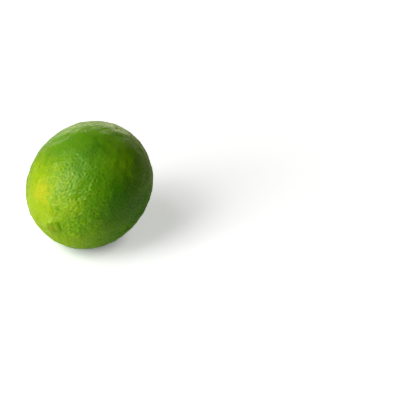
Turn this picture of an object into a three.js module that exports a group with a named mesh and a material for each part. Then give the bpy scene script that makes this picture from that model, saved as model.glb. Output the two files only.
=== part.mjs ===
// A whole ripe lime, picked and lying on its side. Millimetres, +Z up.
// The stylar end, with its low nipple, points towards -X and a little down; the stem end, with the
// dry calyx button, points towards +X. The fruit grew as one piece, so it is one solid.
// The origin is on the surface that the fruit rests on, at the middle of its outline seen from above.

import * as THREE from "three";
import { ConvexHull } from "three/addons/math/ConvexHull.js";

// The body, without its ends' relief.
const BODY_LENGTH = 62; // along the fruit's own axis
const BODY_DIAMETER = 54; // across the middle
const STEM_FULLNESS = 0.025; // share by which the stem half is wider, and the stylar half narrower
const OVALITY = 0.006; // share of the radius by which the section is oval
const THREE_SIDEDNESS = 0.004; // and by which it is three-sided
const TILT_DEG = 12; // how far the stylar end dips while the fruit lies still
const FLAT_DEPTH = 0.8; // how deep the resting spot is pressed into the round underside

// A flattened cheek beside the stylar end, where the fruit grew against a twig.
const CHEEK_SIDE = new THREE.Vector3(-0.75, 0.42, -0.51).normalize();
const CHEEK_DEPTH = 0.45;
const CHEEK_RADIUS = 9;

// Unevenness: plane waves, some as long as the fruit is thick and some a few millimetres long.
const SWELL = { height: 0.09, length: 26, spread: 0.25, waves: 7 };
const LUMPS = { height: 0.085, length: 5.4, spread: 0.3, waves: 17 };

// The stylar end: a low blunt nipple in a shallow, lopsided basin, with the scar of the fallen style
// on top and wrinkles that run out of it.
const NIPPLE_RADIUS = 3.3;
const NIPPLE_HEIGHT = 1.35;
const NIPPLE_EDGE = 0.7; // softness of the nipple's flank
const BASIN_RADIUS = 6.4;
const BASIN_WIDTH = 2.8;
const BASIN_DEPTH = 0.5;
const BASIN_LEAN = 0.5; // share by which the basin is deeper on one side than on average
const BASIN_LEAN_TURN = 2.4; // radians about the axis, from +Y towards +Z, where that side lies
const STYLE_SCAR_RADIUS = 0.8;
const STYLE_SCAR_DEPTH = 0.4;
const WRINKLES = { count: 14, depth: 0.24, radius: 7.5, spread: 4.5 };
const STYLAR_SHIFT = { y: 0.4, z: 1.3 }; // how far the tip lies aside of the fruit's axis

// A furrow that runs out of the basin, and two straight folds beside the tip.
const FURROW = { turn: 1.95, radius: 6.5, spread: 3.5, width: 0.8, depth: 0.6 };
const FOLDS = { turn: 2.8, width: 0.5, depth: 0.35 };
const FOLD_PLACES = [2.4, 4.0]; // how far each lies from the tip
const FOLD_REACHES = [3.0, 1.8]; // and how far it reaches to both sides

// The stem end: a hollow with furrows that run out of it, and the five-lobed button in its middle.
const HOLLOW_RADIUS = 6.5;
const HOLLOW_DEPTH = 1.3;
const FURROWS = { count: 9, depth: 0.3, radius: 6, spread: 4 };
const BUTTON_RADIUS = 2.5;
const BUTTON_HEIGHT = 0.9;
const BUTTON_EDGE = 0.26;
const SEPAL_COUNT = 5;
const SEPAL_DEPTH = 0.16; // share of the button's radius between a lobe and a notch
const STALK_RADIUS = 1.2; // the round scar that the stalk left on the button
const STALK_HEIGHT = 0.6;

// The peel: a shallow pit over each oil gland, with a ridge between neighbours.
const PIT_SPACING = 2.85; // over most of the body
const END_PIT_SPACING = 0.52; // on the nipple and the button
const FINE_RADIUS = 2.8; // how far from an end the pits stay small
const COARSE_RADIUS = 11; // and from where they have their full size
const PIT_DEPTH_SHARE = 0.075; // of the spacing
const PIT_UNEVENNESS = 0.35; // share by which one pit is deeper than another
const PIT_JITTER = 0.2; // of the spacing
const PIT_SEED = 20;

const GOLDEN_ANGLE = Math.PI * (3 - Math.sqrt(5));
const HALF_LENGTH = BODY_LENGTH / 2;
const HALF_WIDTH = BODY_DIAMETER / 2;

// A bell that is 1 at the middle and has died away two widths from it.
const bell = (distance, width) => Math.exp(-((distance / width) ** 2));

// A plateau that is 1 inside the radius and falls to 0 across a soft edge.
const plateau = (distance, radius, edge) => 1 / (1 + Math.exp((distance - radius) / edge));

// Uneven ground at a point: plane waves whose directions and phases turn by the golden angle.
function unevenness(point, { height, length, spread, waves }) {
  let sum = 0;
  for (let i = 0; i < waves; i++) {
    const turn = i * GOLDEN_ANGLE;
    const up = 1 - (2 * i + 1) / waves;
    const level = Math.sqrt(1 - up * up);
    const across = new THREE.Vector3(level * Math.cos(turn), level * Math.sin(turn), up);
    const waveLength = length * (1 + spread * Math.sin(2.3 * turn));
    sum += Math.sin((2 * Math.PI * across.dot(point)) / waveLength + 1.7 * turn);
  }
  return height * sum * Math.sqrt(2 / waves);
}

// Grooves that run out of an end, as a depth at a distance from the axis and a turn about it.
function radialGrooves(fromAxis, turn, { count, depth, radius, spread }) {
  const across = 0.5 - 0.5 * Math.cos(count * turn + 1.4 * Math.sin(2 * turn + 0.15 * fromAxis));
  return depth * across * bell(fromAxis - radius, spread);
}

// The furrow and the folds, as a depth at a distance from the tip and a turn about it.
function stylarHollows(fromTip, turn) {
  const furrow =
    bell((turn - FURROW.turn) * fromTip, FURROW.width) * bell(fromTip - FURROW.radius, FURROW.spread);
  const across = fromTip * Math.cos(turn - FOLDS.turn);
  const along = fromTip * Math.sin(turn - FOLDS.turn);
  let folds = 0;
  FOLD_PLACES.forEach((place, i) => {
    folds += bell(across - place, FOLDS.width) * bell(along, FOLD_REACHES[i]);
  });
  return FURROW.depth * furrow + FOLDS.depth * folds;
}

// How far the stylar end stands out along the axis.
function stylarRelief(fromTip, turn) {
  const lean = 1 + BASIN_LEAN * Math.cos(turn - BASIN_LEAN_TURN);
  const basin = BASIN_DEPTH * lean * bell(fromTip - BASIN_RADIUS, BASIN_WIDTH);
  const nipple = NIPPLE_HEIGHT * plateau(fromTip, NIPPLE_RADIUS, NIPPLE_EDGE);
  const scar = STYLE_SCAR_DEPTH * bell(fromTip, STYLE_SCAR_RADIUS);
  const hollows = stylarHollows(fromTip, turn) + radialGrooves(fromTip, turn, WRINKLES);
  return nipple - basin - scar - hollows;
}

// How far the stem end stands out along the axis.
function stemRelief(fromAxis, turn) {
  const hollow = HOLLOW_DEPTH * bell(fromAxis, HOLLOW_RADIUS);
  const lobed = BUTTON_RADIUS * (1 + SEPAL_DEPTH * Math.cos(SEPAL_COUNT * turn));
  const button = BUTTON_HEIGHT * plateau(fromAxis, lobed, BUTTON_EDGE);
  const stalk = STALK_HEIGHT * plateau(fromAxis, STALK_RADIUS, BUTTON_EDGE);
  return button + stalk - hollow - radialGrooves(fromAxis, turn, FURROWS);
}

// Distance from the fruit's axis, or from one beside it, and turn about it from +Y towards +Z.
function aroundAxis(point, shift = { y: 0, z: 0 }) {
  const y = point.y - shift.y;
  const z = point.z - shift.z;
  return [Math.hypot(y, z), Math.atan2(z, y)];
}

// The peel's point in a direction from the fruit's middle, with the fruit's own axis along X.
function peelPoint(direction) {
  const turn = Math.atan2(direction.z, direction.y);
  const section =
    1 +
    STEM_FULLNESS * direction.x +
    OVALITY * Math.cos(2 * turn + 0.6) +
    THREE_SIDEDNESS * Math.cos(3 * turn - 1.1);
  const across = HALF_WIDTH * section;
  const point = new THREE.Vector3(HALF_LENGTH, across, across).multiply(direction);
  const fromCheek = HALF_WIDTH * direction.angleTo(CHEEK_SIDE);
  const raise =
    unevenness(point, SWELL) +
    unevenness(point, LUMPS) -
    CHEEK_DEPTH * bell(fromCheek, CHEEK_RADIUS);
  const relief =
    direction.x < 0
      ? -stylarRelief(...aroundAxis(point, STYLAR_SHIFT))
      : stemRelief(...aroundAxis(point));
  const nearEnd = THREE.MathUtils.smoothstep(Math.abs(direction.x), 0.3, 0.8);
  point.addScaledVector(direction, raise);
  point.x += relief * nearEnd;
  return point;
}

// The distance between neighbouring glands in a direction from the fruit's middle.
function spacingAt(direction) {
  const fromEnd = HALF_WIDTH * Math.acos(Math.min(1, Math.abs(direction.x)));
  const growth = THREE.MathUtils.smoothstep(fromEnd, FINE_RADIUS, COARSE_RADIUS);
  return THREE.MathUtils.lerp(END_PIT_SPACING, PIT_SPACING, growth);
}

// Seeded random numbers from -1 to 1.
function makeRandom(seed) {
  let state = seed;
  return () => {
    state = (Math.imul(state, 1664525) + 1013904223) >>> 0;
    return state / 2 ** 31 - 1;
  };
}

// Directions of the glands: a golden-angle spiral from one end to the other, that crowds where the
// spacing is small, with each gland pushed a little off it.
function glandDirections(random) {
  const steps = 20000;
  const glands = [];
  let owed = 0;
  for (let i = 0; i < steps; i++) {
    const polar = (Math.PI * (i + 0.5)) / steps;
    const turn = glands.length * GOLDEN_ANGLE;
    const radial = Math.sin(polar);
    const gland = new THREE.Vector3(-Math.cos(polar), radial * Math.cos(turn), radial * Math.sin(turn));
    const spacing = spacingAt(gland);
    const beltArea = 2 * Math.PI * radial * HALF_WIDTH * HALF_WIDTH * (Math.PI / steps);
    owed += beltArea / (spacing * spacing * (Math.sqrt(3) / 2));
    if (owed < glands.length + 0.5) continue;
    const push = new THREE.Vector3(random(), random(), random());
    glands.push(gland.addScaledVector(push, (PIT_JITTER * spacing) / HALF_WIDTH).normalize());
  }
  return glands;
}

// The peel as triangles: each gland is the bottom of a pit, and fans out to the corners where three
// pits meet.
function peelGeometry() {
  const random = makeRandom(PIT_SEED);
  const glands = glandDirections(random);
  const faces = new ConvexHull().setFromPoints(glands).faces;
  const glandIndex = new Map(glands.map((gland, i) => [gland, i]));
  const cornerIndex = new Map(faces.map((face, i) => [face, glands.length + i]));
  const points = glands.map((gland) => {
    const depth = PIT_DEPTH_SHARE * spacingAt(gland) * (1 + PIT_UNEVENNESS * random());
    return peelPoint(gland).addScaledVector(gland, -depth);
  });
  const triangles = [];
  for (const face of faces) {
    const corner = new THREE.Vector3();
    for (let k = 0; k < 3; k++) {
      const edge = face.getEdge(k);
      const gland = edge.tail().point;
      corner.add(gland);
      triangles.push(glandIndex.get(gland), cornerIndex.get(edge.twin.face), cornerIndex.get(face));
    }
    points.push(peelPoint(corner.normalize()));
  }
  return new THREE.BufferGeometry().setFromPoints(points).setIndex(triangles);
}

// The fruit as it lies: dipped at its stylar end, pressed flat where it rests, over the origin.
function limeGeometry() {
  const lime = peelGeometry().rotateY(THREE.MathUtils.degToRad(-TILT_DEG));
  lime.computeBoundingBox();
  const middle = lime.boundingBox.getCenter(new THREE.Vector3());
  lime.translate(-middle.x, -middle.y, -lime.boundingBox.min.z - FLAT_DEPTH);
  const position = lime.getAttribute("position");
  for (let i = 0; i < position.count; i++) {
    position.setZ(i, Math.max(0, position.getZ(i)));
  }
  lime.computeVertexNormals();
  return lime;
}

const peelMaterial = new THREE.MeshStandardMaterial({
  color: new THREE.Color(0.1, 0.28, 0.012),
  roughness: 0.42,
  metalness: 0,
});

const lime = new THREE.Mesh(limeGeometry(), peelMaterial);
lime.name = "lime";

const fruit = new THREE.Group();
fruit.add(lime);

export default fruit;
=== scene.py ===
"""Dresses a whole lime: its pitted peel, the dry button at its stem end, and a white studio."""

import math

import bmesh
import bpy
from mathutils import Euler, Matrix, Vector


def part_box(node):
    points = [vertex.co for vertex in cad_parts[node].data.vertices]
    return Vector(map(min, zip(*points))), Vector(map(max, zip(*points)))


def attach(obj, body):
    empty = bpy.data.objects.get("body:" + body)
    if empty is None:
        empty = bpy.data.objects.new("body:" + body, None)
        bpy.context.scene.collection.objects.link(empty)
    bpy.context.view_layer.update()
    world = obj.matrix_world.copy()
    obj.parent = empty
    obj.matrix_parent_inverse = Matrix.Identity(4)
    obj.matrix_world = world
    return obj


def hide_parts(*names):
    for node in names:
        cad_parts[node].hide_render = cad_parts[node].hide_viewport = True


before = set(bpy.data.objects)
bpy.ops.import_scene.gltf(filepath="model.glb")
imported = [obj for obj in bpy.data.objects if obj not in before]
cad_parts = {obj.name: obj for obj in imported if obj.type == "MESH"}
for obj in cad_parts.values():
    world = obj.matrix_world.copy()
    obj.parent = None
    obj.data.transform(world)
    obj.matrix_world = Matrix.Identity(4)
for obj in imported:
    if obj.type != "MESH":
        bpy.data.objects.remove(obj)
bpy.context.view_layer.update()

bl_info = {
    "name": "Lime Maker",
    "version": (1, 0, 0),
    "blender": (4, 5, 0),
    "location": "View3D > Sidebar > Lime",
    "description": "Grows a lime with pitted peel and a dry button, and sets up a white studio",
    "category": "Add Mesh",
}

NODE = "lime"
BODY = "root"

MM = 0.001
GOLDEN_ANGLE = math.pi * (3 - math.sqrt(5))

# The body's form, without the relief of its ends. Shares are of the radius, and turns are in
# radians about the fruit's axis, from +Y towards +Z.
STEM_FULLNESS = 0.025
OVALITY = 0.006
OVAL_TURN = 0.6
THREE_SIDEDNESS = 0.004
THREE_SIDED_TURN = -1.1
CHEEK_SIDE = Vector((-0.75, 0.42, -0.51)).normalized()
CHEEK_DEPTH = 0.45 * MM
CHEEK_RADIUS = 9 * MM

# Unevenness of the peel: plane waves, as height, typical length, spread of lengths and number, and
# how fast their lengths and phases change with the turn of their direction.
SWELL = {"height": 0.09 * MM, "length": 26 * MM, "spread": 0.25, "waves": 7}
LUMPS = {"height": 0.085 * MM, "length": 5.4 * MM, "spread": 0.3, "waves": 17}
WAVE_LENGTH_TURNS = 2.3
WAVE_PHASE_TURNS = 1.7

# Leathery skin: bumps with creases between them, swollen to lumps around the stylar end.
BUMP_LENGTH = 2.0 * MM
BUMP_HEIGHT = 0.32 * MM
CREASE_DEPTH = 0.08 * MM
CREASE_SHARE = 0.07
CREASE_SWAY = 1.3 * MM
CREASE_SWAY_LENGTH = 5 * MM
PUCKER_LENGTH = 2.8 * MM
PUCKER_SWAY = 3 * MM
PUCKER_SWAY_LENGTH = 3.3 * PUCKER_LENGTH
PUCKER_SHARE = 0.45
PUCKER_HEIGHT = 0.7 * MM
PUCKER_SUNK = 0.7

# Where the lumps are: middle and radius in millimetres, and how strong.
PUCKER_SPOTS = (
    ((-26, -7, 6), 14, 1.0),
    ((-28, -4, -9), 8, 1.0),
)

# Where the relief is weaker or stronger: middle and radius in millimetres, and by which share.
RELIEF_SPOTS = (
    ((-1, -14, 22), 13, -0.7),
    ((15, -16, 17), 13, -0.6),
    ((8, 7, 24), 16, -0.7),
    ((-13, 1, 24), 9, 0.55),
    ((-23, 12, 11), 9, -0.5),
)

# The pits over the oil glands: how finely the ball that they are strewn on is divided, how many
# places are tried for each, how much smaller each inset is and how deep it lies, and the least and
# the greatest share of the full depth that a pit can have.
BALL_SUBDIVISIONS = 6
GLAND_TRIES = 30
PIT_INSETS = ((0.74, 0.22), (0.54, 1.0))
PIT_VIGOUR = (0.2, 1.4)

# Between which shares of the way to an end its relief sets in.
END_START = 0.3
END_FULL = 0.8

# The grooves at both ends: how far they sway aside, in radians of their own wave, and how that
# changes with the distance from the axis.
GROOVE_SWAY = 1.4
GROOVE_TWIST = 0.15 / MM

# The stylar end: nipple, basin, scar and wrinkles, all a little aside of the fruit's axis.
STYLAR_SHIFT = (0.4 * MM, 1.3 * MM)
NIPPLE_RADIUS = 3.3 * MM
NIPPLE_EDGE = 0.95 * MM
BASIN_RADIUS = 6.4 * MM
BASIN_WIDTH = 2.8 * MM
BASIN_DEPTH = 0.5 * MM
BASIN_LEAN = 0.3
BASIN_LEAN_TURN = 2.4
SCAR_RADIUS = 0.8 * MM
SCAR_DEPTH = 0.4 * MM
WRINKLES = {"count": 14, "depth": 0.24 * MM, "radius": 7.5 * MM, "spread": 4.5 * MM}

# A furrow that runs out of the basin, and straight folds beside the tip: how far each fold lies
# from it, and how far it reaches.
FURROW_TURN = 1.9
FURROW_RADIUS = 6.5 * MM
FURROW_SPREAD = 3.5 * MM
FURROW_WIDTH = 0.8 * MM
FURROW_DEPTH = 0.45 * MM
FOLD_TURN = 2.8
FOLDS = ((2.0 * MM, 3.0 * MM), (4.2 * MM, 2.2 * MM))
FOLD_WIDTH = 0.5 * MM
FOLD_DEPTH = 0.5 * MM

# The stem end: the hollow that the button sits in, and the furrows that run out of it.
HOLLOW_RADIUS = 6.5 * MM
HOLLOW_DEPTH = 1.3 * MM
FURROWS = {"count": 9, "depth": 0.3 * MM, "radius": 6 * MM, "spread": 4 * MM}

# The five-lobed button and the round scar of the stalk on it.
BUTTON_RADIUS = 2.8 * MM
BUTTON_HEIGHT = 0.9 * MM
BUTTON_ROOT = 0.9 * MM
BUTTON_SEGMENTS = 60
SEPAL_COUNT = 5
SEPAL_DEPTH = 0.2
SEPAL_DROOP = 0.15 * MM
STALK_RADIUS = 1.2 * MM
STALK_HEIGHT = 0.6 * MM

# The cheek that yellowed in the shade, its ripest part, and the paler peel around it: middle and
# reach in the fruit's own frame, or for the pale peel in that frame turned about the fruit's axis,
# and between which shares of the reach each fades out.
YELLOW_MIDDLE = Vector((-24.5, 10.2, 10)) * MM
YELLOW_REACH = Vector((9, 9, 13)) * MM
YELLOW_FADE = (1.9, 0.6)
RIPE_MIDDLE = Vector((-24.3, 6.5, 14)) * MM
RIPE_REACH = 6.5 * MM
RIPE_FADE = (1.0, 0.2)
PALE_TURN = 0.85
PALE_MIDDLE = Vector((-26, 17, 5)) * MM
PALE_REACH = Vector((9, 22, 12)) * MM
PALE_FADE = (1.9, 0.7)

# Noise in the peel's colours: typical lengths, and how far each noise shifts their borders. The
# streaks run along the fruit and are drawn on a cylinder around its axis.
BLOTCH_LENGTH = 11 * MM
BLOTCH_UNREST = 0.8
MOTTLE_LENGTH = 2.4 * MM
MOTTLE_UNREST = 0.2
YELLOW_MOTTLE = 1.4
RIPE_MOTTLE = 1.5
STREAK_LENGTH = 2.2 * MM
STREAK_UNREST = 0.3
STREAK_RADIUS = 14 * MM
STREAK_SQUEEZE = 0.35

# How pale the green is, from 0 for deep over 0.5 for fresh to 1 for pale: over most of the fruit,
# what the pale patch adds to it, what the bumps, the lumps and the hollows add to it as painted
# light and shade, the painted shade that deepens the −Y side, and between which distances from the
# axis that shade sets in.
PALENESS = 0.45
PATCH_PALENESS = 0.5
BUMP_PALENESS_AND_PAINTED_LIGHT = 0.1
PUCKER_PAINTED_SHADING = 0.9
HOLLOW_PAINTED_SHADE = -0.6
SIDE_PAINTED_SHADE = -0.3
SIDE_SHADE_START = 15 * MM
SIDE_SHADE_END = 26 * MM

# Blotches of the peel, some of them painted light and shade, paler where the highlight and the lit
# rim fall and deeper on the −Y side: middle and radius in millimetres, and how much paler or
# deeper the peel is.
BLOTCHES_AND_PAINTED_LIGHT = (
    ((-13, 1, 23.5), 5, 0.27),
    ((-6, 12, 23), 7, -0.15),
    ((0, 5, 26), 8, 0.2),
    ((-15, -13, 19), 7, 0.1),
    ((-28, 10, 0), 10, 0.5),
    ((0, -12, 24), 11, -0.27),
    ((-7, -24, 9), 14, -0.2),
    ((-25.5, -8.5, 11.5), 5, 0.45),
    ((-28, -5, -9), 9, 0.65),
    ((-3, -18.5, 19), 6, 0.35),
    ((8, -20, 16), 7, 0.25),
    ((-17.5, -14.5, 15.5), 5, 0.06),
    ((-14, -23.5, 2), 5, -0.13),
    ((-15, -5, 22), 8, 0.12),
    ((-7.5, -10, 24), 4, 0.12),
    ((-6, -5, 25.5), 5, -0.12),
    ((-22, -5.5, 17), 4, -0.15),
)

# Where the green is warmer: middle and radius in millimetres, and by which share.
GOLDEN_SPOTS = (
    ((5, -18.5, 18.5), 13, 0.4),
    ((-11, 17, 18), 10, 0.5),
    ((-21, -16, -10), 13, 0.25),
    ((-30, 1, -7), 6, 0.2),
    ((-20, -19, 3), 6, 0.12),
)

# Where the yellow reaches further: middle and radius in millimetres, and by which share.
YELLOW_SPOTS = (
    ((-13, 17, 17), 5, 0.5),
    ((-28.5, 6.5, 7), 5, 0.3),
    ((-25, -8.5, 12), 4.5, 0.25),
    ((-29.5, -1.5, -7), 6, 0.3),
)

# What pits, creases and mottling do to the peel's colour and gloss, and how fine its grain is. The
# creases are darkened as painted shade, the pits as the glands' own colour and painted shade.
HOLLOW_TINT_AND_PAINTED_SHADE = (0.5, 0.6, 0.3)
PIT_COLOUR_AND_PAINTED_SHADE = 0.1
CREASE_PAINTED_SHADE = 0.1
ROUGHNESS = 0.28
PIT_ROUGHNESS = 0.1
CREASE_ROUGHNESS = 0.1
MOTTLE_ROUGHNESS = 0.2
GRAIN_LENGTH = 0.45 * MM

# The brown stain around the scar of the style.
STAIN_RADIUS = 1.2 * MM
STAIN_EDGE = 0.4 * MM
STAIN_STRENGTH = 0.6

# The button's cork: its typical length, how far it frays the borders of the stalk's scar and of
# the pith, where those lie as shares of the button's radius, and how dark the pith is and the
# painted shade in the cork's own grooves.
CORK_LENGTH = 0.6 * MM
STALK_SHARE = STALK_RADIUS / BUTTON_RADIUS
SCAR_FRAY = 0.2
SCAR_BORDER = (STALK_SHARE + 0.06, STALK_SHARE - 0.02)
PITH_FRAY = 0.3
PITH_BORDER = (0.2, 0.06)
GROOVE_BORDER = (0.2, -0.2)
CORK_TINT_AND_PAINTED_SHADE = (0.45, 0.36, 0.2)
PITH_SHADE = 0.6
GROOVE_PAINTED_SHADE = 0.5

# The table, and how brightly it glows for the camera: under the fruit, what is added beside it and
# far from it, and between which distances that sets in. The dimmer glow under and close to the
# fruit is a painted contact shadow.
FLOOR_SIZE = 8
GLOW_IN_PAINTED_SHADOW = 0.15
GLOW_BESIDE = 0.35
PAINTED_SHADOW_EDGE = (8 * MM, 20 * MM)
GLOW_AFAR = 0.5
AFAR = (60 * MM, 400 * MM)

# The light that the dim room gives, and the width of the camera's sensor in millimetres.
ROOM_LIGHT = 0.01
SENSOR_WIDTH = 36

# The softboxes: name, azimuth and elevation in degrees, width, height, power in watts and colour.
SOFTBOX_DISTANCE = 0.9
SOFTBOXES = (
    ("Window", 157, 28, 0.5, 0.9, 6.5, (1, 1, 1)),
    ("High Window", 145, 56, 0.7, 0.5, 3.4, (1, 1, 1)),
    ("Back Wall", 32, 6, 0.95, 0.28, 2.9, (1, 0.93, 0.66)),
    ("Ceiling", 0, 90, 0.8, 0.8, 0.2, (1, 1, 1)),
)

# The sizes that the peel's node tree takes, in the order of its inputs.
SIZE_INPUTS = (
    "Length",
    "Diameter",
    "Nipple Height",
    "Tilt",
    "Flat Depth",
    "Gland Spacing",
    "Gland Depth",
)


class LimeShape(bpy.types.PropertyGroup):
    """Sizes of the fruit"""

    length: bpy.props.FloatProperty(
        name="Length",
        description="Length along the fruit's own axis, without the nipple",
        default=62 * MM,
        min=0.03,
        unit="LENGTH",
        subtype="DISTANCE",
    )
    diameter: bpy.props.FloatProperty(
        name="Diameter",
        description="Width across the middle",
        default=54 * MM,
        min=0.03,
        unit="LENGTH",
        subtype="DISTANCE",
    )
    nipple_height: bpy.props.FloatProperty(
        name="Nipple Height",
        description="How far the nipple stands out of the stylar end",
        default=1.35 * MM,
        min=0.0,
        unit="LENGTH",
        subtype="DISTANCE",
    )
    tilt: bpy.props.FloatProperty(
        name="Tilt",
        description="How far the stylar end dips while the fruit lies still",
        default=math.radians(12),
        unit="ROTATION",
        subtype="ANGLE",
    )
    flat_depth: bpy.props.FloatProperty(
        name="Flat Depth",
        description="How deep the resting spot is pressed into the underside",
        default=0.8 * MM,
        min=0.0,
        unit="LENGTH",
        subtype="DISTANCE",
    )
    gland_spacing: bpy.props.FloatProperty(
        name="Gland Spacing",
        description="Least distance between two oil glands",
        default=1.4 * MM,
        min=0.0009,
        unit="LENGTH",
        subtype="DISTANCE",
    )
    gland_depth: bpy.props.FloatProperty(
        name="Gland Depth",
        description="Depth of the pit over a gland",
        default=0.19 * MM,
        min=0.0,
        unit="LENGTH",
        subtype="DISTANCE",
    )
    seed: bpy.props.IntProperty(
        name="Seed",
        description="Seed of the glands' places",
        default=3,
    )


class LimeColours(bpy.types.PropertyGroup):
    """Colours of the peel and of the button"""

    deep_green: bpy.props.FloatVectorProperty(
        name="Deep Green",
        description="Peel where it is darkest",
        default=(0.042, 0.235, 0.002),
        size=3,
        min=0.0,
        max=1.0,
        subtype="COLOR",
    )
    fresh_green: bpy.props.FloatVectorProperty(
        name="Fresh Green",
        description="Peel over most of the fruit",
        default=(0.14, 0.38, 0.003),
        size=3,
        min=0.0,
        max=1.0,
        subtype="COLOR",
    )
    pale_green: bpy.props.FloatVectorProperty(
        name="Pale Green",
        description="Peel close to the stylar end",
        default=(0.27, 0.49, 0.006),
        size=3,
        min=0.0,
        max=1.0,
        subtype="COLOR",
    )
    golden_green: bpy.props.FloatVectorProperty(
        name="Golden Green",
        description="Warmer peel in a few places",
        default=(0.26, 0.42, 0.003),
        size=3,
        min=0.0,
        max=1.0,
        subtype="COLOR",
    )
    lime_yellow: bpy.props.FloatVectorProperty(
        name="Lime Yellow",
        description="The cheek that lay in the shade",
        default=(0.4, 0.57, 0.006),
        size=3,
        min=0.0,
        max=1.0,
        subtype="COLOR",
    )
    ripe_yellow: bpy.props.FloatVectorProperty(
        name="Ripe Yellow",
        description="The ripest part of that cheek",
        default=(0.56, 0.6, 0.01),
        size=3,
        min=0.0,
        max=1.0,
        subtype="COLOR",
    )
    scar_brown: bpy.props.FloatVectorProperty(
        name="Scar Brown",
        description="The stain around the scar of the style",
        default=(0.26, 0.19, 0.02),
        size=3,
        min=0.0,
        max=1.0,
        subtype="COLOR",
    )
    sepal_olive: bpy.props.FloatVectorProperty(
        name="Sepal Olive",
        description="The five dry lobes of the button at the stem end",
        default=(0.15, 0.13, 0.035),
        size=3,
        min=0.0,
        max=1.0,
        subtype="COLOR",
    )
    dry_tan: bpy.props.FloatVectorProperty(
        name="Dry Tan",
        description="The corky scar of the stalk in the button's middle",
        default=(0.42, 0.3, 0.14),
        size=3,
        min=0.0,
        max=1.0,
        subtype="COLOR",
    )


class LimeStudio(bpy.types.PropertyGroup):
    """Camera and light"""

    azimuth: bpy.props.FloatProperty(
        name="Azimuth",
        description="Direction from the fruit to the camera, turned from -Y towards +X",
        default=math.radians(-56),
        unit="ROTATION",
        subtype="ANGLE",
    )
    elevation: bpy.props.FloatProperty(
        name="Elevation",
        description="Height of the camera above the horizon, seen from the fruit",
        default=math.radians(32),
        unit="ROTATION",
        subtype="ANGLE",
    )
    distance: bpy.props.FloatProperty(
        name="Distance",
        description="From the fruit's middle to the camera",
        default=0.9,
        min=0.1,
        unit="LENGTH",
        subtype="DISTANCE",
    )
    frame_width: bpy.props.FloatProperty(
        name="Frame Width",
        description="Width of the view at the fruit's distance",
        default=178.4 * MM,
        min=0.01,
        unit="LENGTH",
        subtype="DISTANCE",
    )
    aside: bpy.props.FloatProperty(
        name="Aside",
        description="How far the fruit stands left of the view's middle",
        default=49.6 * MM,
        unit="LENGTH",
        subtype="DISTANCE",
    )
    above: bpy.props.FloatProperty(
        name="Above",
        description="How far the fruit stands above the view's middle",
        default=8.5 * MM,
        unit="LENGTH",
        subtype="DISTANCE",
    )
    floor_white: bpy.props.FloatVectorProperty(
        name="Floor White",
        description="Colour of the table",
        default=(0.9, 0.9, 0.9),
        size=3,
        min=0.0,
        max=1.0,
        subtype="COLOR",
    )
    floor_glow: bpy.props.FloatVectorProperty(
        name="Floor Glow",
        description="Colour of the table as the fruit sees it",
        default=(0.9, 0.9, 0.5),
        size=3,
        min=0.0,
        max=1.0,
        subtype="COLOR",
    )


# Node trees


class Graph:
    """A node tree in the making. Each node is added with its settings and inputs in one call."""

    def __init__(self, tree):
        self.tree = tree

    def add(self, kind, inputs=None, **settings):
        node = self.tree.nodes.new(kind)
        for name, value in settings.items():
            setattr(node, name, value)
        for key, value in (inputs or {}).items():
            self.plug(node.inputs[key], value)
        return node

    def plug(self, socket, value):
        if isinstance(value, Field):
            value = value.socket
        if isinstance(value, bpy.types.NodeSocket):
            self.tree.links.new(value, socket)
        else:
            socket.default_value = value


class Field:
    """A number that varies over a surface. Arithmetic on it adds Math nodes to its tree."""

    def __init__(self, graph, socket):
        self.graph = graph
        self.socket = socket

    def math(self, operation, *others):
        values = dict(enumerate((self, *others)))
        node = self.graph.add("ShaderNodeMath", values, operation=operation)
        return Field(self.graph, node.outputs[0])

    def __add__(self, other):
        return self.math("ADD", other)

    def __sub__(self, other):
        return self.math("SUBTRACT", other)

    def __mul__(self, other):
        return self.math("MULTIPLY", other)

    def __truediv__(self, other):
        return self.math("DIVIDE", other)

    def __neg__(self):
        return self * -1

    __radd__ = __add__

    def inverse(self):
        return self.math("POWER", -1)

    def sine(self):
        return self.math("SINE")

    def cosine(self):
        return self.math("COSINE")

    def step(self, start, end, smooth=True):
        """0 at start, 1 at end, and no change beyond them. Start may be the greater."""
        node = self.graph.add(
            "ShaderNodeMapRange",
            {"Value": self, "From Min": start, "From Max": end},
            interpolation_type="SMOOTHSTEP" if smooth else "LINEAR",
        )
        return Field(self.graph, node.outputs["Result"])


def bell(distance, width):
    """1 where the distance is 0, and all but 0 two widths away."""
    share = distance / width
    return (share * share * -1).math("EXPONENT")


def plateau(distance, radius, edge):
    """1 inside the radius, falling to 0 across a soft edge."""
    return (((distance - radius) / edge).math("EXPONENT") + 1).inverse()


def dot(graph, vector, direction):
    node = graph.add("ShaderNodeVectorMath", {0: vector, 1: direction}, operation="DOT_PRODUCT")
    return Field(graph, node.outputs["Value"])


def unevenness(graph, point, height, length, spread, waves):
    """Plane waves whose directions and phases turn by the golden angle."""
    total = 0
    for i in range(waves):
        turn = i * GOLDEN_ANGLE
        up = 1 - (2 * i + 1) / waves
        level = math.sqrt(1 - up * up)
        wave_length = length * (1 + spread * math.sin(WAVE_LENGTH_TURNS * turn))
        wave_number = 2 * math.pi / wave_length
        across = Vector((level * math.cos(turn), level * math.sin(turn), up)) * wave_number
        total = (dot(graph, point, across) + WAVE_PHASE_TURNS * turn).sine() + total
    return total * (height * math.sqrt(2 / waves))


def radial_grooves(from_axis, turn, count, depth, radius, spread):
    """Grooves that run out of an end of the fruit."""
    sway = (turn * 2 + from_axis * GROOVE_TWIST).sine() * GROOVE_SWAY
    across = (turn * count + sway).cosine() * -0.5 + 0.5
    return across * depth * bell(from_axis - radius, spread)


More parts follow.
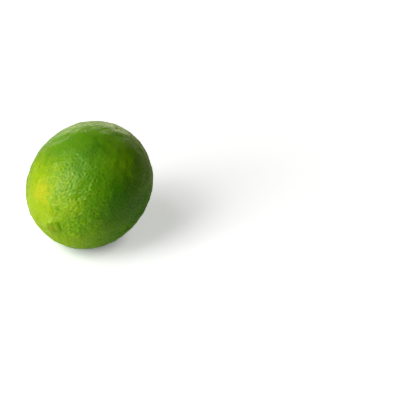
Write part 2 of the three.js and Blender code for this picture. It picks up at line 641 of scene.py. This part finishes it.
def stylar_relief(from_tip, turn, nipple_height):
    """How far the stylar end stands out along the axis."""
    lean = (turn - BASIN_LEAN_TURN).cosine() * BASIN_LEAN + 1
    basin = lean * BASIN_DEPTH * bell(from_tip - BASIN_RADIUS, BASIN_WIDTH)
    nipple = nipple_height * plateau(from_tip, NIPPLE_RADIUS, NIPPLE_EDGE)
    scar = bell(from_tip, SCAR_RADIUS) * SCAR_DEPTH
    hollows = furrow(from_tip, turn) * FURROW_DEPTH + folds(from_tip, turn) * FOLD_DEPTH
    return nipple - basin - scar - hollows - radial_grooves(from_tip, turn, **WRINKLES)


def furrow(from_tip, turn):
    """1 along the bottom of the furrow that runs out of the basin."""
    aside = (turn - FURROW_TURN) * from_tip
    return bell(aside, FURROW_WIDTH) * bell(from_tip - FURROW_RADIUS, FURROW_SPREAD)


def folds(from_tip, turn):
    """1 along the bottoms of the folds beside the tip."""
    across = (turn - FOLD_TURN).cosine() * from_tip
    along = (turn - FOLD_TURN).sine() * from_tip
    return sum(bell(across - place, FOLD_WIDTH) * bell(along, reach) for place, reach in FOLDS)


def stem_relief(from_axis, turn):
    """How far the stem end stands out along the axis."""
    hollow = bell(from_axis, HOLLOW_RADIUS) * -HOLLOW_DEPTH
    return hollow - radial_grooves(from_axis, turn, **FURROWS)


def distance(graph, point, place):
    node = graph.add("ShaderNodeVectorMath", {0: point, 1: place}, operation="DISTANCE")
    return Field(graph, node.outputs["Value"])


def parts_of(graph, vector):
    node = graph.add("ShaderNodeSeparateXYZ", {0: vector})
    return [Field(graph, socket) for socket in node.outputs]


def vector_of(graph, x, y, z):
    node = graph.add("ShaderNodeCombineXYZ", {"X": x, "Y": y, "Z": z})
    return node.outputs[0]


def leather(graph, point):
    """The leathery skin at a point: bumps around 0, and 1 along the creases between them."""
    place = swayed(graph, point, CREASE_SWAY_LENGTH, CREASE_SWAY)
    bumps = noise(graph, place, BUMP_LENGTH, roughness=0.55)
    creases = bumps.math("ABSOLUTE").step(CREASE_SHARE, 0.0)
    return bumps, creases


def swayed(graph, point, length, sway):
    """A point that is pushed about by noise."""
    push = graph.add("ShaderNodeTexNoise", {"Vector": point, "Scale": 1 / length, "Detail": 0.0})
    node = graph.add(
        "ShaderNodeVectorMath",
        {0: push.outputs["Color"], 1: (sway,) * 3, 2: point},
        operation="MULTIPLY_ADD",
    )
    return node.outputs[0]


def puckers(graph, point):
    """Lumps with creases between them, on one side of the stylar end."""
    place = swayed(graph, point, PUCKER_SWAY_LENGTH, PUCKER_SWAY)
    cells = graph.add(
        "ShaderNodeTexVoronoi",
        {"Vector": place, "Scale": 1 / PUCKER_LENGTH},
        feature="DISTANCE_TO_EDGE",
    )
    from_edge = Field(graph, cells.outputs["Distance"])
    lumps = from_edge.step(0.0, PUCKER_SHARE, smooth=False).math("SQRT")
    return (lumps - PUCKER_SUNK) * spots(graph, point, PUCKER_SPOTS)


def spots(graph, point, places):
    """The sum of bells around places: middle and radius in millimetres, and height of each."""
    total = 0
    for middle, radius, height in places:
        total = bell(distance(graph, point, Vector(middle) * MM), radius * MM) * height + total
    return total


def around(y, z, shift=(0, 0)):
    """Distance from an axis along X, and turn about it."""
    y = y - shift[0]
    z = z - shift[1]
    return (y * y + z * z).math("SQRT"), z.math("ARCTAN2", y)


def peel_point(graph, size):
    """The peel's point in the direction of each vertex, with the fruit's own axis along X."""
    direction = unit_position(graph)
    dx, dy, dz = parts_of(graph, direction)
    turn = around(dy, dz)[1]
    oval = (turn * 2 + OVAL_TURN).cosine() * OVALITY
    three_sided = (turn * 3 + THREE_SIDED_TURN).cosine() * THREE_SIDEDNESS
    section = dx * STEM_FULLNESS + oval + three_sided + 1
    across = size["Diameter"] * 0.5 * section
    x = size["Length"] * 0.5 * dx
    y = across * dy
    z = across * dz
    body = vector_of(graph, x, y, z)
    from_cheek = dot(graph, direction, CHEEK_SIDE).math("ARCCOSINE") * size["Diameter"] * 0.5
    bumps, creases = leather(graph, body)
    strength = spots(graph, body, RELIEF_SPOTS) + 1
    rise = (
        unevenness(graph, body, **SWELL)
        + unevenness(graph, body, **LUMPS)
        + bumps * strength * BUMP_HEIGHT
        - creases * CREASE_DEPTH
        + puckers(graph, body) * PUCKER_HEIGHT
        - bell(from_cheek, CHEEK_RADIUS) * CHEEK_DEPTH
    )
    pit = Field(graph, named_number(graph, "pit"))
    vigour = Field(graph, named_number(graph, "vigour"))
    rise = rise - pit * vigour * strength * size["Gland Depth"]
    near_end = dx.math("ABSOLUTE").step(END_START, END_FULL)
    stylar = stylar_relief(*around(y, z, STYLAR_SHIFT), size["Nipple Height"])
    stem = stem_relief(*around(y, z))
    along = stem * dx.math("GREATER_THAN", 0) - stylar * dx.math("LESS_THAN", 0)
    along = along * near_end
    return vector_of(graph, x + rise * dx + along, y + rise * dy, z + rise * dz)


def named_number(graph, name):
    node = graph.add("GeometryNodeInputNamedAttribute", {"Name": name}, data_type="FLOAT")
    return node.outputs["Attribute"]


def store(graph, geometry, name, value, domain="POINT", data_type="FLOAT", selection=True):
    node = graph.add(
        "GeometryNodeStoreNamedAttribute",
        {"Geometry": geometry, "Selection": selection, "Name": name, "Value": value},
        data_type=data_type,
        domain=domain,
    )
    return node.outputs[0]


def unit_position(graph):
    position = graph.add("GeometryNodeInputPosition").outputs[0]
    return graph.add("ShaderNodeVectorMath", {0: position}, operation="NORMALIZE").outputs[0]


def move_to(graph, geometry, place):
    node = graph.add("GeometryNodeSetPosition", {"Geometry": geometry, "Position": place})
    return node.outputs[0]


def inset_cells(graph, geometry, cells, share, depth):
    """Draws a smaller copy of each chosen cell inside it, and stores how deep its corners lie."""
    drawn = graph.add(
        "GeometryNodeExtrudeMesh",
        {"Mesh": geometry, "Selection": cells, "Offset Scale": 0.0, "Individual": True},
        mode="FACES",
    )
    shrunk = graph.add(
        "GeometryNodeScaleElements",
        {"Geometry": drawn.outputs["Mesh"], "Selection": drawn.outputs["Top"], "Scale": share},
        domain="FACE",
    )
    marked = store(graph, shrunk.outputs[0], "pit", depth, selection=drawn.outputs["Top"])
    return marked, drawn.outputs["Top"]


def build_peel_tree():
    """A closed net of cells, one for each oil gland, that is bent to the form of the fruit."""
    tree = bpy.data.node_groups.new("Lime Peel", "GeometryNodeTree")
    graph = Graph(tree)
    tree.interface.new_socket("Geometry", in_out="OUTPUT", socket_type="NodeSocketGeometry")
    for name in SIZE_INPUTS:
        tree.interface.new_socket(name, in_out="INPUT", socket_type="NodeSocketFloat")
    tree.interface.new_socket("Seed", in_out="INPUT", socket_type="NodeSocketInt")
    tree.interface.new_socket("Material", in_out="INPUT", socket_type="NodeSocketMaterial")
    inputs = graph.add("NodeGroupInput").outputs
    size = {name: Field(graph, inputs[name]) for name in SIZE_INPUTS}

    cells = pitted_cells(graph, size, inputs["Seed"])
    point = peel_point(graph, size)
    grown = store(graph, cells, "growth", point, data_type="FLOAT_VECTOR")
    growth = graph.add(
        "GeometryNodeInputNamedAttribute",
        {"Name": "growth"},
        data_type="FLOAT_VECTOR",
    )
    peel = move_to(graph, grown, growth.outputs["Attribute"])
    tilt = vector_of(graph, 0.0, -size["Tilt"], 0.0)
    tipped = graph.add("GeometryNodeTransform", {"Geometry": peel, "Rotation": tilt}).outputs[0]
    lying = lay_down(graph, tipped, size["Flat Depth"])
    smooth = graph.add("GeometryNodeSetShadeSmooth", {"Geometry": lying})
    real = graph.add("GeometryNodeRealizeInstances", {"Geometry": smooth.outputs[0]})
    dressed = graph.add(
        "GeometryNodeSetMaterial",
        {"Geometry": real.outputs[0], "Material": inputs["Material"]},
    )
    graph.add("NodeGroupOutput", {"Geometry": dressed.outputs[0]})
    return tree


def pitted_cells(graph, size, seed):
    """A ball of radius 1 that is covered with cells, each with its pit and the pit's vigour."""
    spacing = size["Gland Spacing"] / (size["Diameter"] * 0.5)
    ball = graph.add(
        "GeometryNodeMeshIcoSphere",
        {"Radius": 1.0, "Subdivisions": BALL_SUBDIVISIONS},
    )
    glands = graph.add(
        "GeometryNodeDistributePointsOnFaces",
        {
            "Mesh": ball.outputs["Mesh"],
            "Distance Min": spacing,
            "Density Max": (spacing * spacing).inverse() * GLAND_TRIES,
            "Seed": seed,
        },
        distribute_method="POISSON",
    )
    strewn = move_to(graph, glands.outputs["Points"], unit_position(graph))
    hull = graph.add("GeometryNodeConvexHull", {"Geometry": strewn})
    cells = graph.add("GeometryNodeDualMesh", {"Mesh": hull.outputs[0]}).outputs[0]
    cells = move_to(graph, cells, unit_position(graph))
    least, most = PIT_VIGOUR
    chance = graph.add(
        "FunctionNodeRandomValue",
        {2: least, 3: most, "Seed": seed},
        data_type="FLOAT",
    )
    cells = store(graph, cells, "vigour", chance.outputs[1], domain="FACE")
    cells = store(graph, cells, "pit", 0.0)
    inner = True
    for share, depth in PIT_INSETS:
        cells, inner = inset_cells(graph, cells, inner, share, depth)
    return cells


def lay_down(graph, geometry, flat_depth):
    """Sets the fruit over the origin, with its underside pressed flat at height 0."""
    box = graph.add("GeometryNodeBoundBox", {"Geometry": geometry})
    low = parts_of(graph, box.outputs["Min"])
    high = parts_of(graph, box.outputs["Max"])
    move = vector_of(
        graph,
        (low[0] + high[0]) * -0.5,
        (low[1] + high[1]) * -0.5,
        -low[2] - flat_depth,
    )
    moved = graph.add("GeometryNodeTransform", {"Geometry": geometry, "Translation": move})
    position = graph.add("GeometryNodeInputPosition")
    x, y, z = parts_of(graph, position.outputs[0])
    return move_to(graph, moved.outputs[0], vector_of(graph, x, y, z.math("MAXIMUM", 0.0)))


def grow(name, tree, values):
    """A plain mesh object from a geometry node tree and the values of its inputs."""
    maker = bpy.data.objects.new(name + "_maker", bpy.data.meshes.new(name + "_maker"))
    bpy.context.scene.collection.objects.link(maker)
    modifier = maker.modifiers.new("Growth", "NODES")
    modifier.node_group = tree
    for item in tree.interface.items_tree:
        if item.in_out == "INPUT":
            modifier[item.identifier] = values[item.name]
    evaluated = maker.evaluated_get(bpy.context.evaluated_depsgraph_get())
    mesh = bpy.data.meshes.new_from_object(evaluated)
    mesh.name = name
    bpy.data.objects.remove(maker)
    piece = bpy.data.objects.new(name, mesh)
    bpy.context.scene.collection.objects.link(piece)
    return piece


# Materials


def new_material(name):
    material = bpy.data.materials.new(name)
    material.use_nodes = True
    material.node_tree.nodes.clear()
    return material, Graph(material.node_tree)


def mix(graph, share, below, above, blend="MIX"):
    """Lays one colour over another by a share, as a colour socket."""
    node = graph.add(
        "ShaderNodeMix",
        {"Factor": share, 6: below, 7: above},
        data_type="RGBA",
        blend_type=blend,
    )
    return node.outputs[2]


def noise(graph, vector, length, detail=2.0, roughness=0.5):
    """Noise with a typical length between its spots, as a number around 0."""
    node = graph.add(
        "ShaderNodeTexNoise",
        {"Vector": vector, "Scale": 1 / length, "Detail": detail, "Roughness": roughness},
    )
    return Field(graph, node.outputs[0]) - 0.5


def colour(values):
    return (*values, 1.0)


def peel_material(colours):
    """Waxy peel that lets light in, duller in its pits, in its creases and where it is mottled,
    and darker in both: painted shade, and in the pits also the glands' own colour.
    """
    material, graph = new_material("Lime Peel")
    growth = graph.add("ShaderNodeAttribute", attribute_name="growth").outputs["Vector"]
    pit = Field(graph, graph.add("ShaderNodeAttribute", attribute_name="pit").outputs["Fac"])
    mottle = noise(graph, growth, MOTTLE_LENGTH, detail=1.0)
    bumps, creases = leather(graph, growth)
    base = peel_colour(graph, colours, growth, mottle, bumps)
    # Darker creases are painted shade; darker pits are the glands' own colour and painted shade.
    shade = pit * PIT_COLOUR_AND_PAINTED_SHADE + creases * CREASE_PAINTED_SHADE
    base = mix(graph, shade, base, colour(HOLLOW_TINT_AND_PAINTED_SHADE), blend="MULTIPLY")
    base = mix(graph, stain(graph, growth), base, colour(colours.scar_brown))

    dull = pit * PIT_ROUGHNESS + creases * CREASE_ROUGHNESS + mottle * MOTTLE_ROUGHNESS
    grain = noise(graph, growth, GRAIN_LENGTH, detail=3.0, roughness=0.6)
    grained = graph.add(
        "ShaderNodeBump",
        {"Strength": 0.35, "Distance": 0.06 * MM, "Height": grain},
    )
    creased = graph.add(
        "ShaderNodeBump",
        {
            "Strength": 0.6,
            "Distance": 0.1 * MM,
            "Height": -creases,
            "Normal": grained.outputs[0],
        },
    )
    surface = graph.add(
        "ShaderNodeBsdfPrincipled",
        {
            "Base Color": base,
            "Roughness": dull + ROUGHNESS,
            "Normal": creased.outputs[0],
            "IOR": 1.45,
            "Specular Tint": (1.0, 1.0, 0.6, 1.0),
            "Subsurface Weight": 1.0,
            "Subsurface Radius": (0.6, 1.0, 0.2),
            "Subsurface Scale": 3 * MM,
        },
    )
    graph.add("ShaderNodeOutputMaterial", {"Surface": surface.outputs[0]})
    return material


def peel_colour(graph, colours, growth, mottle, bumps):
    """The greens by how pale they are, the warmer spots, and the yellow cheek over them."""
    unrest = mottle * MOTTLE_UNREST + colour_unrest(graph, growth)
    paleness = peel_paleness(graph, growth, bumps) + unrest
    base = mix(
        graph,
        paleness.step(0.0, 0.5, smooth=False),
        colour(colours.deep_green),
        colour(colours.fresh_green),
    )
    pale = paleness.step(0.5, 1.0, smooth=False)
    base = mix(graph, pale, base, colour(colours.pale_green))
    golden = spots(graph, growth, GOLDEN_SPOTS)
    base = mix(graph, golden, base, colour(colours.golden_green))

    from_yellow = reach_from(graph, growth, YELLOW_MIDDLE, YELLOW_REACH) - unrest
    yellow = (from_yellow - mottle * YELLOW_MOTTLE).step(*YELLOW_FADE, smooth=False)
    yellow = yellow + spots(graph, growth, YELLOW_SPOTS)
    base = mix(graph, yellow, base, colour(colours.lime_yellow))
    from_ripe = distance(graph, growth, RIPE_MIDDLE) / RIPE_REACH - unrest
    ripe = (from_ripe - mottle * RIPE_MOTTLE).step(*RIPE_FADE, smooth=False)
    return mix(graph, ripe, base, colour(colours.ripe_yellow))


def colour_unrest(graph, growth):
    """Blotches, and streaks that run along the fruit, as a number around 0."""
    blotch = noise(graph, growth, BLOTCH_LENGTH)
    x, y, z = parts_of(graph, growth)
    from_axis = around(y, z)[0]
    on_cylinder = vector_of(
        graph,
        x * STREAK_SQUEEZE,
        y / from_axis * STREAK_RADIUS,
        z / from_axis * STREAK_RADIUS,
    )
    streak = noise(graph, on_cylinder, STREAK_LENGTH)
    return blotch * BLOTCH_UNREST + streak * STREAK_UNREST


def peel_paleness(graph, growth, bumps):
    """How pale the green is, without its noise, with painted light and shade from the relief, the
    −Y side and some blotches.
    """
    turned = graph.add(
        "ShaderNodeVectorRotate",
        {"Vector": growth, "Angle": -PALE_TURN},
        rotation_type="X_AXIS",
    ).outputs[0]
    from_pale = reach_from(graph, turned, PALE_MIDDLE, PALE_REACH)
    y = parts_of(graph, growth)[1]
    return (
        from_pale.step(*PALE_FADE, smooth=False) * PATCH_PALENESS
        + PALENESS
        # Paler bump tops: the peel's own tone and painted light.
        + bumps * BUMP_PALENESS_AND_PAINTED_LIGHT
        # Painted shade: deeper green on the −Y side.
        + (-y).step(SIDE_SHADE_START, SIDE_SHADE_END) * SIDE_PAINTED_SHADE
        # Painted shading of the lumps: paler tops, deeper green creases.
        + puckers(graph, growth) * PUCKER_PAINTED_SHADING
        # Painted shade: deeper green along the furrow and folds beside the stylar tip.
        + stylar_hollows(graph, growth) * HOLLOW_PAINTED_SHADE
        # Blotches, some of them painted light and shade.
        + spots(graph, growth, BLOTCHES_AND_PAINTED_LIGHT)
    )


def stylar_hollows(graph, growth):
    """1 along the furrow and the folds beside the stylar tip, where painted shade deepens the
    green.
    """
    x, y, z = parts_of(graph, growth)
    from_tip, turn = around(y, z, STYLAR_SHIFT)
    return (furrow(from_tip, turn) + folds(from_tip, turn)) * x.math("LESS_THAN", 0.0)


def stain(graph, growth):
    """How brown the peel is around the scar of the style."""
    x, y, z = parts_of(graph, growth)
    from_tip = around(y, z, STYLAR_SHIFT)[0]
    patch = plateau(from_tip, STAIN_RADIUS, STAIN_EDGE) * x.math("LESS_THAN", 0.0)
    return patch * STAIN_STRENGTH


def reach_from(graph, place, middle, reach):
    """Distance from the middle of a patch, where 1 is at its edge."""
    offset = graph.add("ShaderNodeVectorMath", {0: place, 1: middle}, operation="SUBTRACT")
    share = graph.add(
        "ShaderNodeVectorMath",
        {0: offset.outputs[0], 1: reach},
        operation="DIVIDE",
    )
    node = graph.add("ShaderNodeVectorMath", {0: share.outputs[0]}, operation="LENGTH")
    return Field(graph, node.outputs["Value"])


def button_material(colours):
    """Dry olive lobes around the tan cork of the stalk's scar, with painted shade in the cork's
    grooves.
    """
    material, graph = new_material("Dry Button")
    place = graph.add("ShaderNodeTexCoord").outputs["Object"]
    share = graph.add("ShaderNodeAttribute", attribute_name="share").outputs["Fac"]
    share = Field(graph, share)
    cork = noise(graph, place, CORK_LENGTH, detail=5.0, roughness=0.65)
    scar = (share + cork * SCAR_FRAY).step(*SCAR_BORDER)
    base = mix(graph, scar, colour(colours.sepal_olive), colour(colours.dry_tan))
    pith = (share + cork * PITH_FRAY).step(*PITH_BORDER)
    # The pith's darker colour, and painted shade in the cork's grooves.
    shade = pith * PITH_SHADE + cork.step(*GROOVE_BORDER) * GROOVE_PAINTED_SHADE
    base = mix(graph, shade, base, colour(CORK_TINT_AND_PAINTED_SHADE), blend="MULTIPLY")
    bump = graph.add(
        "ShaderNodeBump",
        {"Strength": 0.8, "Distance": 0.15 * MM, "Height": cork},
    )
    surface = graph.add(
        "ShaderNodeBsdfPrincipled",
        {"Base Color": base, "Roughness": 0.8, "Normal": bump.outputs[0]},
    )
    graph.add("ShaderNodeOutputMaterial", {"Surface": surface.outputs[0]})
    return material


# Pieces


def fruit_place(peel, shape):
    """Takes the fruit's own frame, with its axis along X, to where the fruit lies."""
    tilt = Matrix.Rotation(-shape.tilt, 4, "Y")
    highest = max(peel.data.vertices, key=lambda vertex: vertex.co.z)
    growth = peel.data.attributes["growth"].data[highest.index].vector
    return Matrix.Translation(highest.co - tilt @ growth) @ tilt


def button_profile():
    """Rings of the button as share of the lobed edge and height, from its middle out and under."""
    stalk = STALK_SHARE
    top = BUTTON_HEIGHT
    return [
        (0.10, top + 0.45 * STALK_HEIGHT),
        (0.22, top + 0.55 * STALK_HEIGHT),
        (0.36, top + STALK_HEIGHT),
        (stalk - 0.04, top + 0.95 * STALK_HEIGHT),
        (stalk + 0.04, top + 0.35 * STALK_HEIGHT),
        (stalk + 0.14, top + 0.05 * STALK_HEIGHT),
        (0.74, 0.9 * top),
        (0.88, 0.8 * top),
        (0.97, 0.62 * top),
        (1.0, 0.4 * top),
        (0.97, 0.1 * top),
        (0.85, -BUTTON_ROOT),
    ]


def button_mesh():
    """The button standing up along +X on the bottom of its hollow."""
    mesh = bpy.data.meshes.new("lime_button")
    net = bmesh.new()
    shares = net.verts.layers.float.new("share")
    rings = []
    for share, height in button_profile():
        ring = []
        for i in range(BUTTON_SEGMENTS):
            turn = 2 * math.pi * i / BUTTON_SEGMENTS
            lobe = math.cos(SEPAL_COUNT * turn)
            radius = BUTTON_RADIUS * share * (1 + SEPAL_DEPTH * lobe * share**2)
            x = height - SEPAL_DROOP * lobe * share**4
            corner = net.verts.new((x, radius * math.cos(turn), radius * math.sin(turn)))
            corner[shares] = share
            ring.append(corner)
        rings.append(ring)
    for inner, outer in zip(rings, rings[1:]):
        for i in range(BUTTON_SEGMENTS):
            j = (i + 1) % BUTTON_SEGMENTS
            net.faces.new((inner[i], outer[i], outer[j], inner[j]))
    net.faces.new(rings[0])
    net.faces.new(reversed(rings[-1]))
    bmesh.ops.recalc_face_normals(net, faces=net.faces)
    net.to_mesh(mesh)
    net.free()
    mesh.shade_smooth()
    return mesh


class LIME_OT_grow_peel(bpy.types.Operator):
    """Grow the peel of the lime, with its nipple, its hollow and its oil glands"""

    bl_idname = "lime.grow_peel"
    bl_label = "Grow Peel"

    def execute(self, context):
        shape = context.scene.lime_shape
        values = {
            "Length": shape.length,
            "Diameter": shape.diameter,
            "Nipple Height": shape.nipple_height,
            "Tilt": shape.tilt,
            "Flat Depth": shape.flat_depth,
            "Gland Spacing": shape.gland_spacing,
            "Gland Depth": shape.gland_depth,
            "Seed": shape.seed,
            "Material": peel_material(context.scene.lime_colours),
        }
        peel = grow("lime_peel", build_peel_tree(), values)
        if not peel.data.polygons:
            raise RuntimeError("the peel came out empty")
        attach(peel, BODY)
        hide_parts(NODE)
        return {"FINISHED"}


class LIME_OT_set_button(bpy.types.Operator):
    """Set the dry five-lobed button into the hollow of the stem end"""

    bl_idname = "lime.set_button"
    bl_label = "Set Button"

    def execute(self, context):
        shape = context.scene.lime_shape
        peel = context.scene.objects.get("lime_peel")
        if peel is None:
            raise RuntimeError("grow the peel before the button")
        mesh = button_mesh()
        bottom = Matrix.Translation((shape.length / 2 - HOLLOW_DEPTH, 0, 0))
        mesh.transform(fruit_place(peel, shape) @ bottom)
        mesh.materials.append(button_material(context.scene.lime_colours))
        button = bpy.data.objects.new("lime_button", mesh)
        context.scene.collection.objects.link(button)
        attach(button, BODY)
        return {"FINISHED"}


# Studio


def aim(thing, target):
    """Turns the side that a camera or light looks along, its -Z, to a point."""
    thing.rotation_mode = "QUATERNION"
    thing.rotation_quaternion = (target - thing.location).to_track_quat("-Z", "Y")


def add_softbox(centre, name, azimuth, elevation, width, height, power, tint):
    """A soft rectangular light that is turned to the fruit; azimuth 0 is +X."""
    light = bpy.data.lights.new(name, "AREA")
    light.shape = "RECTANGLE"
    light.size = width
    light.size_y = height
    light.energy = power
    light.color = tint
    softbox = bpy.data.objects.new(name, light)
    turn = Euler((0, -math.radians(elevation), math.radians(azimuth))).to_matrix()
    softbox.location = centre + turn @ Vector((SOFTBOX_DISTANCE, 0, 0))
    softbox.visible_camera = False
    aim(softbox, centre)
    bpy.context.scene.collection.objects.link(softbox)


def add_camera(studio, centre):
    """A camera whose view has the fruit aside of its middle."""
    azimuth, elevation = studio.azimuth, studio.elevation
    back = Vector(
        (
            math.sin(azimuth) * math.cos(elevation),
            -math.cos(azimuth) * math.cos(elevation),
            math.sin(elevation),
        )
    )
    right = Vector((math.cos(azimuth), math.sin(azimuth), 0))
    up = back.cross(right)
    lens = bpy.data.cameras.new("Camera")
    lens.sensor_width = SENSOR_WIDTH
    lens.lens = SENSOR_WIDTH * studio.distance / studio.frame_width
    lens.clip_start = 0.01
    camera = bpy.data.objects.new("Camera", lens)
    camera.location = centre + back * studio.distance
    aim(camera, centre + right * studio.aside - up * studio.above)
    bpy.context.scene.collection.objects.link(camera)
    bpy.context.scene.camera = camera


def floor_material(studio):
    """White paper that looks brighter than it lights the fruit, pure white far from it, and with a
    painted contact shadow where its glow dims around the fruit.
    """
    material, graph = new_material("Studio White")
    place = graph.add("ShaderNodeTexCoord").outputs["Object"]
    away = distance(graph, place, (0.0, 0.0, 0.0))
    # The glow dims under and beside the fruit: a painted contact shadow.
    glow_with_painted_shadow = away.step(*PAINTED_SHADOW_EDGE) * GLOW_BESIDE + away.step(*AFAR) * GLOW_AFAR + GLOW_IN_PAINTED_SHADOW
    paper = graph.add("ShaderNodeBsdfDiffuse", {"Color": colour(studio.floor_white)}).outputs[0]
    lift = graph.add("ShaderNodeEmission", {"Strength": glow_with_painted_shadow}).outputs[0]
    bright = graph.add("ShaderNodeAddShader", {0: paper, 1: lift}).outputs[0]
    seen = graph.add("ShaderNodeLightPath").outputs["Is Camera Ray"]
    warm = graph.add("ShaderNodeBsdfDiffuse", {"Color": colour(studio.floor_glow)}).outputs[0]
    surface = graph.add("ShaderNodeMixShader", {0: seen, 1: warm, 2: bright})
    graph.add("ShaderNodeOutputMaterial", {"Surface": surface.outputs[0]})
    return material


def add_floor(studio):
    bpy.ops.mesh.primitive_plane_add(size=FLOOR_SIZE)
    floor = bpy.context.object
    floor.name = "studio_floor"
    floor.data.materials.append(floor_material(studio))


def add_surroundings():
    """A dim room that the camera sees as white."""
    world = bpy.data.worlds.new("Studio Air")
    world.use_nodes = True
    world.node_tree.nodes.clear()
    graph = Graph(world.node_tree)
    seen = Field(graph, graph.add("ShaderNodeLightPath").outputs["Is Camera Ray"])
    air = graph.add(
        "ShaderNodeBackground",
        {"Color": colour((1, 1, 1)), "Strength": seen + ROOM_LIGHT},
    )
    graph.add("ShaderNodeOutputWorld", {"Surface": air.outputs[0]})
    bpy.context.scene.world = world


class LIME_OT_set_stage(bpy.types.Operator):
    """Set the camera, the white floor and the soft lights around the fruit"""

    bl_idname = "lime.set_stage"
    bl_label = "Set Stage"

    def execute(self, context):
        studio = context.scene.lime_studio
        low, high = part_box(NODE)
        centre = (Vector(low) + Vector(high)) / 2
        add_camera(studio, centre)
        add_floor(studio)
        add_surroundings()
        for softbox in SOFTBOXES:
            add_softbox(centre, *softbox)
        context.scene.view_settings.view_transform = "Standard"
        return {"FINISHED"}


class LIME_PT_sidebar(bpy.types.Panel):
    """Lists the lime's pieces and its studio"""

    bl_label = "Lime"
    bl_idname = "LIME_PT_sidebar"
    bl_space_type = "VIEW_3D"
    bl_region_type = "UI"
    bl_category = "Lime"

    def draw(self, context):
        scene = context.scene
        self.group(scene.lime_shape, (LIME_OT_grow_peel, LIME_OT_set_button))
        self.group(scene.lime_colours, ())
        self.group(scene.lime_studio, (LIME_OT_set_stage,))

    def group(self, settings, operators):
        box = self.layout.box()
        for name in settings.__annotations__:
            box.prop(settings, name)
        for operator in operators:
            box.operator(operator.bl_idname)


SETTINGS = {"lime_shape": LimeShape, "lime_colours": LimeColours, "lime_studio": LimeStudio}
CLASSES = (
    *SETTINGS.values(),
    LIME_OT_grow_peel,
    LIME_OT_set_button,
    LIME_OT_set_stage,
    LIME_PT_sidebar,
)


def register():
    for cls in CLASSES:
        bpy.utils.register_class(cls)
    for name, cls in SETTINGS.items():
        setattr(bpy.types.Scene, name, bpy.props.PointerProperty(type=cls))


def unregister():
    for name in SETTINGS:
        delattr(bpy.types.Scene, name)
    for cls in reversed(CLASSES):
        bpy.utils.unregister_class(cls)


def main():
    register()
    bpy.ops.lime.set_stage()
    bpy.ops.lime.grow_peel()
    bpy.ops.lime.set_button()


if __name__ == "__main__":
    main()
